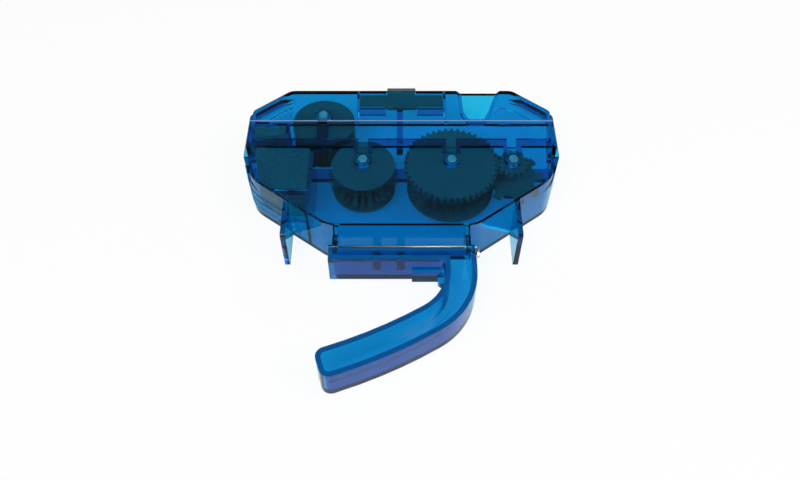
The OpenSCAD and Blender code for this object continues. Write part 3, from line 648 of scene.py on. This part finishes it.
@dataclass
class BristleRing:
    """A ring of nylon tufts set in the hub between two discs.

    The shares are least and greatest values: how far from its tuft's middle a strand
    stands, and how much of the brush's radius is left after the trim.
    """

    node: str
    body: Body
    material: bpy.types.Material
    tufts: int
    rows: int = 3
    strands: int = 7
    root: float = 7.7 * MM
    strand_r: float = 0.26 * MM
    taper: float = 0.4
    root_spread: float = 0.45 * MM
    tip_spread: float = 1.15 * MM
    curl: float = 0.45 * MM
    seat_shares: tuple[float, float] = (0.75, 1.0)
    trim_shares: tuple[float, float] = (0.965, 0.999)
    steps: int = 4
    sides: int = 4

    def middles(self, low: np.ndarray, high: np.ndarray) -> tuple[np.ndarray, ...]:
        """Works out the middle of every strand at every step.

        A strand runs outwards from the hub: at share t of its length it lies at
        root + (length - root) t from the axis, moved sideways and along the axis by its
        place in the tuft, which opens from the root's spread to the tip's, and sideways
        by curl t squared. It stays within its row and within the ring.

        Args:
            low: The ring's lowest corner.
            high: The ring's highest corner.

        Returns:
            Distances outwards, sideways and along Z, and the angle of each strand's tuft.
        """
        random = np.random.default_rng(SEED)
        shape = (self.rows, self.tufts, self.strands)
        row, tuft, strand = np.meshgrid(*map(np.arange, shape), indexing="ij")
        turn = 2 * math.pi * (tuft + 0.5 * (row % 2)) / self.tufts
        spoke = 2 * math.pi * strand / (self.strands - 1)
        seat = (strand > 0) * random.uniform(*self.seat_shares, shape)
        curl = random.normal(0, self.curl, shape)
        length = (high - low)[0] / 2 * random.uniform(*self.trim_shares, shape)
        t = np.linspace(0, 1, self.steps)
        far = self.root + (length[..., None] - self.root) * t
        spread = self.root_spread + (self.tip_spread - self.root_spread) * t
        aside = (seat * np.cos(spoke))[..., None] * spread + curl[..., None] * t ** 2
        room = (high - low)[2] / self.rows
        along = np.clip((seat * np.sin(spoke))[..., None] * spread, -room / 2, room / 2)
        height = low[2] + room * (row[..., None] + 0.5) + along
        height = np.clip(height, low[2] + self.strand_r, high[2] - self.strand_r)
        return np.sqrt(np.maximum(far ** 2 - aside ** 2, 0)), aside, height, turn

    def build(self) -> None:
        """Draws every strand as a thin four-sided tube that tapers to its tip."""
        low, high = (np.array(corner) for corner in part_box(self.node))
        middle = (low + high) / 2
        out, aside, height, turn = self.middles(low, high)
        ring = 2 * math.pi * np.arange(self.sides) / self.sides
        thick = self.strand_r * (1 - self.taper * np.linspace(0, 1, self.steps))[:, None]
        side = aside[..., None] + thick * np.cos(ring)
        up = height[..., None] + thick * np.sin(ring)
        cos, sin = np.cos(turn)[..., None, None], np.sin(turn)[..., None, None]
        points = np.stack([middle[0] + out[..., None] * cos - side * sin,
                           middle[1] + out[..., None] * sin + side * cos, up], axis=-1)
        per = self.steps * self.sides
        start = np.arange(self.sides)
        once = np.concatenate([grid_faces(self.steps, self.sides),
                               [start[::-1], start + per - self.sides]])
        faces = np.arange(turn.size)[:, None, None] * per + once
        mesh = fill_mesh(f"{self.node}_tufts", points, faces.reshape(-1, self.sides))
        close_up(mesh)
        place(mesh, f"{self.node}_piece", self.body, "nylon_bristle", self.material, self.node)


@dataclass
class HingeWire:
    """The spring wire that the handle folds on, with one end bent down."""

    material: bpy.types.Material
    bend_r: float = 1.6 * MM
    bend_rings: int = 9
    sides: int = 16

    def build(self) -> None:
        """Carries a circle along the wire's path.

        The path runs straight along X, round a quarter circle of the bend's radius and
        down along Y. Each ring is the circle in the plane across the path.
        """
        low, high = (np.array(corner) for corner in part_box("hinge_wire"))
        radius = (high - low)[2] / 2
        y, z = high[1] - radius, (high[2] + low[2]) / 2
        right = high[0] - radius
        bend = np.linspace(0, math.pi / 2, self.bend_rings)
        xs = np.concatenate([[low[0]], right - self.bend_r + self.bend_r * np.sin(bend), [right]])
        ys = np.concatenate([[y], y - self.bend_r + self.bend_r * np.cos(bend), [low[1]]])
        lean = np.concatenate([[0], bend, [math.pi / 2]])
        angle = np.linspace(0, 2 * math.pi, self.sides, endpoint=False)
        out = radius * np.cos(angle)
        rows = np.stack(np.broadcast_arrays(
            xs[:, None] + out * np.sin(lean)[:, None], ys[:, None] + out * np.cos(lean)[:, None],
            z + radius * np.sin(angle)), axis=-1)
        first = np.broadcast_to([xs[0], ys[0], z], (1, self.sides, 3))
        last = np.broadcast_to([xs[-1], ys[-1], z], (1, self.sides, 3))
        points = np.concatenate([first, rows, last])
        mesh = fill_mesh("hinge_wire_drawn", points, grid_faces(len(points), self.sides))
        close_up(mesh)
        place(mesh, "hinge_wire_piece", Body.CASE, "spring_wire", self.material, "hinge_wire")


@dataclass
class Sponge:
    """A block of open-cell foam that wipes the chain."""

    node: str
    body: Body
    material: bpy.types.Material
    pores: int = 1400
    pore_r: float = 0.8 * MM
    pore_depth: float = 0.45 * MM
    voxel: float = 0.7 * MM
    soft_rounds: int = 6
    soft_share: float = 0.5
    batches: int = 16

    def soft_block(self) -> bpy.types.Mesh:
        """Meshes the CAD block evenly and smooths it, which draws its edges in.

        Returns:
            The softened block.
        """
        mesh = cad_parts[self.node].data.copy()
        close_up(mesh)
        work = bpy.data.objects.new(f"{self.node}_block", mesh)
        bpy.context.scene.collection.objects.link(work)
        even = work.modifiers.new("even", "REMESH")
        even.mode = "VOXEL"
        even.voxel_size = self.voxel
        soft = work.modifiers.new("soft", "SMOOTH")
        soft.iterations = self.soft_rounds
        soft.factor = self.soft_share
        depsgraph = bpy.context.evaluated_depsgraph_get()
        foam = bpy.data.meshes.new_from_object(work.evaluated_get(depsgraph))
        bpy.data.objects.remove(work)
        return foam

    def build(self) -> None:
        """Sinks the cut cells into the softened block.

        Each point sinks along its normal by the pore's depth times exp(-(d / r) squared),
        with d its distance to the nearest of the scattered pore centres.
        """
        foam = self.soft_block()
        points = read_points(foam)
        normals = np.empty(points.size, dtype=np.float32)
        foam.vertex_normals.foreach_get("vector", normals)
        random = np.random.default_rng(SEED)
        centres = points[random.choice(len(points), min(self.pores, len(points)), replace=False)]
        nearest = np.full(len(points), np.inf)
        for part in np.array_split(centres, self.batches):
            gap = np.linalg.norm(points[:, None, :] - part[None, :, :], axis=2).min(axis=1)
            nearest = np.minimum(nearest, gap)
        sink = self.pore_depth * np.exp(-(nearest / self.pore_r) ** 2)
        sunk = points - normals.reshape(-1, 3) * sink[:, None]
        foam.vertices.foreach_set("co", sunk.ravel())
        foam.polygons.foreach_set("use_smooth", np.ones(len(foam.polygons), dtype=bool))
        foam.update()
        made = place(foam, f"{self.node}_piece", self.body, "sponge_foam", self.material, self.node)


# Sub-assemblies

@dataclass
class ClearCase:
    """The two clear shells that hook together round the wheels."""

    tub: bpy.types.Material
    lid: bpy.types.Material

    def build(self) -> None:
        """Makes the tub and the lid."""
        moulding("tub", Edge.SHELL, Body.CASE, "blue_clear", self.tub)
        moulding("lid", Edge.SHELL, Body.LID, "blue_clear", self.lid)


@dataclass
class BrushWheel:
    """One brush on its pin: a hub, discs or a gear, and rings of bristles."""

    body: Body
    tufts: int
    black: bpy.types.Material
    nylon: bpy.types.Material
    pin: bpy.types.Material
    mouldings: tuple[str, ...] = ("hub", "front_disc", "rear_disc")
    rings: tuple[str, ...] = ("front", "middle", "rear")

    def build(self) -> None:
        """Makes the pin, the moulded parts and the bristles."""
        name = self.body.value
        AxlePin(f"{name}_axle", self.body, self.pin).build()
        for part in self.mouldings:
            moulding(f"{name}_{part}", Edge.WHEEL, self.body, "black_plastic", self.black)
        for ring in self.rings:
            BristleRing(f"{name}_{ring}_bristles", self.body, self.nylon, self.tufts).build()


@dataclass
class SprocketShaft:
    """The sprocket, its pinion and two spacers on one pin."""

    black: bpy.types.Material
    pin: bpy.types.Material

    def build(self) -> None:
        """Makes the pin and the four moulded parts."""
        AxlePin("sprocket_axle", Body.SPROCKET, self.pin).build()
        for part in ("sprocket", "pinion", "front_spacer", "rear_spacer"):
            moulding(part, Edge.WHEEL, Body.SPROCKET, "black_plastic", self.black)


# The studio

@dataclass(frozen=True)
class SoftLamp:
    """A square soft box that faces the part, with sizes in metres and its power in watts."""

    name: str
    spot: tuple[float, float, float]
    size: float
    power: float

    def hang(self) -> None:
        """Hangs the lamp at its spot and turns it to the part."""
        light = bpy.data.lights.new(self.name, "AREA")
        light.shape = "SQUARE"
        light.size = self.size
        light.energy = self.power
        lamp = bpy.data.objects.new(self.name, light)
        lamp.location = self.spot
        x, y, z = self.spot
        lamp.rotation_euler = (math.atan2(math.hypot(x, y), z), 0, math.atan2(y, x) + math.pi / 2)
        bpy.context.scene.collection.objects.link(lamp)


@dataclass
class Studio:
    """A pale floor, three soft lamps, a pale horizon and the camera.

    The glows are the floor's own share of white for each kind of ray. The horizon's and
    the overhead sky's strengths hold below and above the two heights of a ray's direction.
    """

    camera_place: tuple[float, float, float] = (-0.0009, -0.3352, 0.4133)
    camera_tilt: float = math.radians(35.917)
    lens: float = 37.31
    film_width: float = 36.0
    near: float = 0.01
    floor_half: float = 6.0
    floor_gap: float = 0.3 * MM
    paper: str = "#e2e2e2"
    light_paper: str = "#ebebeb"
    fibre_pitch: float = 1.5
    camera_glow: float = 0.88
    clear_glow: float = 0.4
    gloss_glow: float = 0.2
    horizon: float = 0.45
    overhead: float = 0.13
    horizon_height: float = 0.3
    overhead_height: float = 0.55
    lamps: tuple[SoftLamp, ...] = (
        SoftLamp("key_lamp", (-0.55, -0.75, 1.25), 0.7, 17.0),
        SoftLamp("fill_lamp", (0.9, -0.35, 1.0), 0.7, 10.0),
        SoftLamp("rim_lamp", (0.0, 1.3, 0.5), 0.35, 3.0))

    def build(self) -> None:
        """Makes camera, floor, horizon and lamps."""
        self.make_camera()
        self.make_floor()
        self.make_world()
        for lamp in self.lamps:
            lamp.hang()

    def make_camera(self) -> None:
        """Sets the camera where the photograph was taken from."""
        lens = bpy.data.cameras.new("camera")
        lens.sensor_width = self.film_width
        lens.lens = self.lens
        lens.clip_start = self.near
        camera = bpy.data.objects.new("camera", lens)
        camera.location = self.camera_place
        camera.rotation_euler = (self.camera_tilt, 0, 0)
        bpy.context.scene.collection.objects.link(camera)
        bpy.context.scene.camera = camera

    def make_floor(self) -> None:
        """Lays a floor of matt white paper that shows white and keeps the shadow."""
        half, low = self.floor_half, cad_low[2] - self.floor_gap
        points = np.array([[-half, -half, low], [half, -half, low], [half, half, low],
                           [-half, half, low]])
        mesh = fill_mesh("floor", points, np.array([[0, 1, 2, 3]]))
        floor = bpy.data.objects.new("floor", mesh)
        bpy.context.scene.collection.objects.link(floor)
        material, tree = blank("matt_white_paper")
        fibres = grain(tree, self.fibre_pitch, layers=3.0)
        tone = add(tree, "ShaderNodeMix",
                   {MIX_FIRST: linear(self.paper), MIX_SECOND: linear(self.light_paper)},
                   {0: fibres}, data_type="RGBA")
        matt = add(tree, "ShaderNodeBsdfDiffuse", links={"Color": tone.outputs[MIX_RESULT]})
        glow = add(tree, "ShaderNodeEmission", {"Color": linear("#ffffff"), "Strength": 1.0})
        path = add(tree, "ShaderNodeLightPath")
        share = add(tree, "ShaderNodeMath", {1: self.camera_glow},
                    {0: path.outputs["Is Camera Ray"]}, operation="MULTIPLY")
        for ray, level in (("Is Transmission Ray", self.clear_glow),
                           ("Is Glossy Ray", self.gloss_glow)):
            part = add(tree, "ShaderNodeMath", {1: level}, {0: path.outputs[ray]},
                       operation="MULTIPLY")
            share = add(tree, "ShaderNodeMath", links={0: share, 1: part}, operation="MAXIMUM")
        mixed = add(tree, "ShaderNodeMixShader", links={0: share, 1: matt, 2: glow})
        add(tree, "ShaderNodeOutputMaterial", links={"Surface": mixed})
        mesh.materials.append(material)

    def make_world(self) -> None:
        """Makes a horizon that is pale low down and darker overhead, and white to the camera."""
        world = bpy.data.worlds.new("studio")
        world.use_nodes = True
        tree = world.node_tree
        tree.nodes.clear()
        around = add(tree, "ShaderNodeTexCoord")
        split = add(tree, "ShaderNodeSeparateXYZ", links={0: around.outputs["Generated"]})
        level = add(tree, "ShaderNodeMapRange",
                    {"From Min": self.horizon_height, "From Max": self.overhead_height,
                     "To Min": self.horizon, "To Max": self.overhead},
                    {"Value": split.outputs["Z"]})
        path = add(tree, "ShaderNodeLightPath")
        glow = add(tree, "ShaderNodeMath", links={0: level, 1: path.outputs["Is Camera Ray"]},
                   operation="MAXIMUM")
        sky = add(tree, "ShaderNodeBackground", {"Color": linear("#ffffff")}, {"Strength": glow})
        add(tree, "ShaderNodeOutputWorld", links={"Surface": sky})
        bpy.context.scene.world = world


def set_picture() -> None:
    """Sets the plain view transform and enough light bounces for clear plastic."""
    scene = bpy.context.scene
    scene.view_settings.view_transform = "Standard"
    scene.cycles.max_bounces = BOUNCES
    scene.cycles.transmission_bounces = BOUNCES
    scene.cycles.transparent_max_bounces = LAYERS


def main() -> None:
    """Builds the studio and the cleaner's pieces in order."""
    logging.basicConfig(level=logging.INFO, format="%(message)s")
    set_picture()
    Studio().build()
    # Painted shade: the tub's tint is darker than the lid's, for the shadow that the wheels cast
    # behind it; both shells are the same plastic
    tub = ClearMoulding("shaded_tub_blue_polycarbonate", "#3fb7e2").build()
    lid = ClearMoulding("lid_blue_polycarbonate", "#38caf2", belt_tint="#38b1dd").build()
    grip = ClearMoulding("grip_blue_polycarbonate", "#279bd7").build()
    # Painted light: both black shades are lighter than the real black plastic, and the second copy,
    # on the wheels and sprocket inside the tub, is lighter still, to make up for the light that the
    # blue walls hold back
    black = BlackMoulding("black_polypropylene", "#434342", "#4d4c4b").build()
    light_painted_black = BlackMoulding("light_painted_black_polypropylene", "#4e504e", "#5a5b59").build()
    nylon = NylonStrand("black_nylon", "#434745", "#5b605d").build()
    foam = OpenCellFoam("dark_foam", "#404543", "#5e6462").build()
    wire = DrawnWire("zinc_plated_wire", "#e2d9b8", "#fbf5e0").build()
    pin = PinMoulding("blue_acetal", "#125f82", "#167a9e").build()
    ClearCase(tub, lid).build()
    Sponge("lower_sponge", Body.CASE, foam).build()
    Sponge("upper_sponge", Body.LID, foam, pores=700).build()
    HingeWire(wire).build()
    moulding("latch", Edge.WHEEL, Body.LATCH, "black_plastic", black)
    BrushWheel(Body.BRUSH1, 14, light_painted_black, nylon, pin).build()
    BrushWheel(Body.BRUSH2, 22, light_painted_black, nylon, pin, mouldings=("hub", "gear", "rear_disc"),
               rings=("front", "rear")).build()
    BrushWheel(Body.BRUSH3, 14, black, nylon, pin).build()
    SprocketShaft(light_painted_black, pin).build()
    moulding("handle", Edge.GRIP, Body.HANDLE, "blue_handle", grip)


if __name__ == "__main__":
    main()
